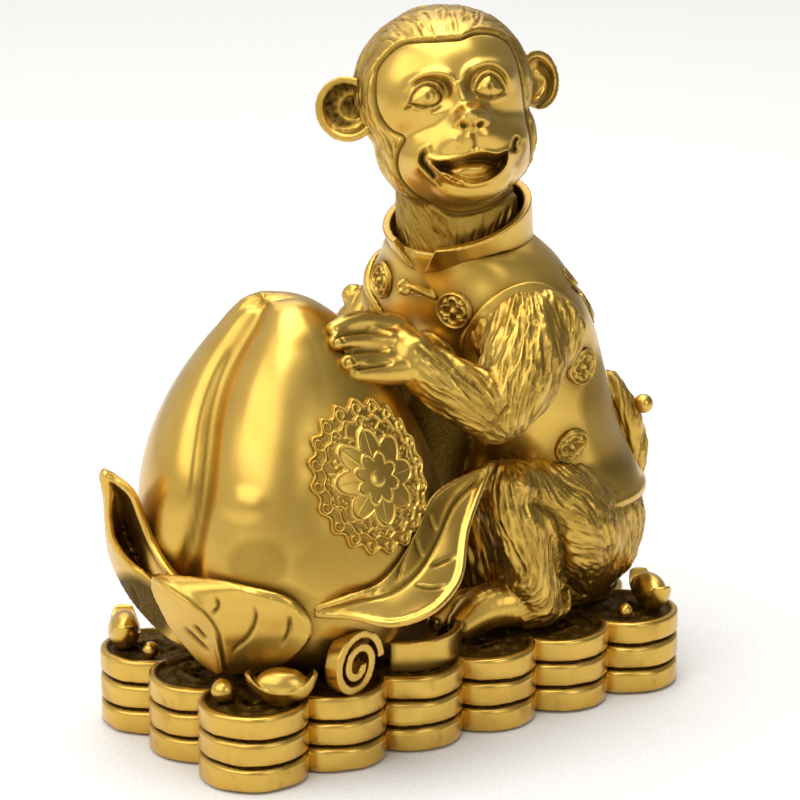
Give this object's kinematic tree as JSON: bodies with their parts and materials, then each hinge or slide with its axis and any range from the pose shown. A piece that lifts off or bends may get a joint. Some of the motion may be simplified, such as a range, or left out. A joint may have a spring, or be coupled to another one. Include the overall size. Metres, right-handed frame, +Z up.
{
  "type": "monkey figurine",
  "caption": "Cast brass ornament: a monkey in a vest sits on a base of stacked coins and hugs a large peach.",
  "frame": {"origin": "middle of the face it rests on, under the centre of the coin base", "axes": "+Z up; the long side of the base runs along X; the front of the ornament faces -Y and the monkey sits at the +X end"},
  "size_m": [0.1487, 0.0831, 0.1652],
  "materials": {
    "brass": "brushed, with dark patina in the recesses",
    "plate": "plain sheet",
    "fixing": "plain",
    "felt": "felt"
  },
  "bodies": {
    "root": {"coin_base": "brass", "base_plate": "plate", "base_screws": "fixing", "felt_sheet": "felt", "peach_bolt": "fixing", "trunk_bolts": "fixing", "peach": "brass", "peach_medallion": "brass", "leaf_front": "brass", "leaf_left": "brass", "leaf_right": "brass", "vest": "brass", "trunk_seat": "brass", "vest_collar": "brass", "head": "brass", "left_ear": "brass", "right_ear": "brass", "left_arm": "brass", "right_arm": "brass", "armhole_left": "brass", "armhole_right": "brass", "arm_dowels": "fixing", "left_leg": "brass", "right_leg": "brass", "tail": "brass", "tail_bead": "brass", "vest_roundels": "brass", "vest_frog": "brass", "ingot_front": "brass", "ingot_left": "brass", "ingot_right": "brass", "pearls": "brass", "scroll": "brass", "ribbon": "brass"}
  },
  "joints": []
}
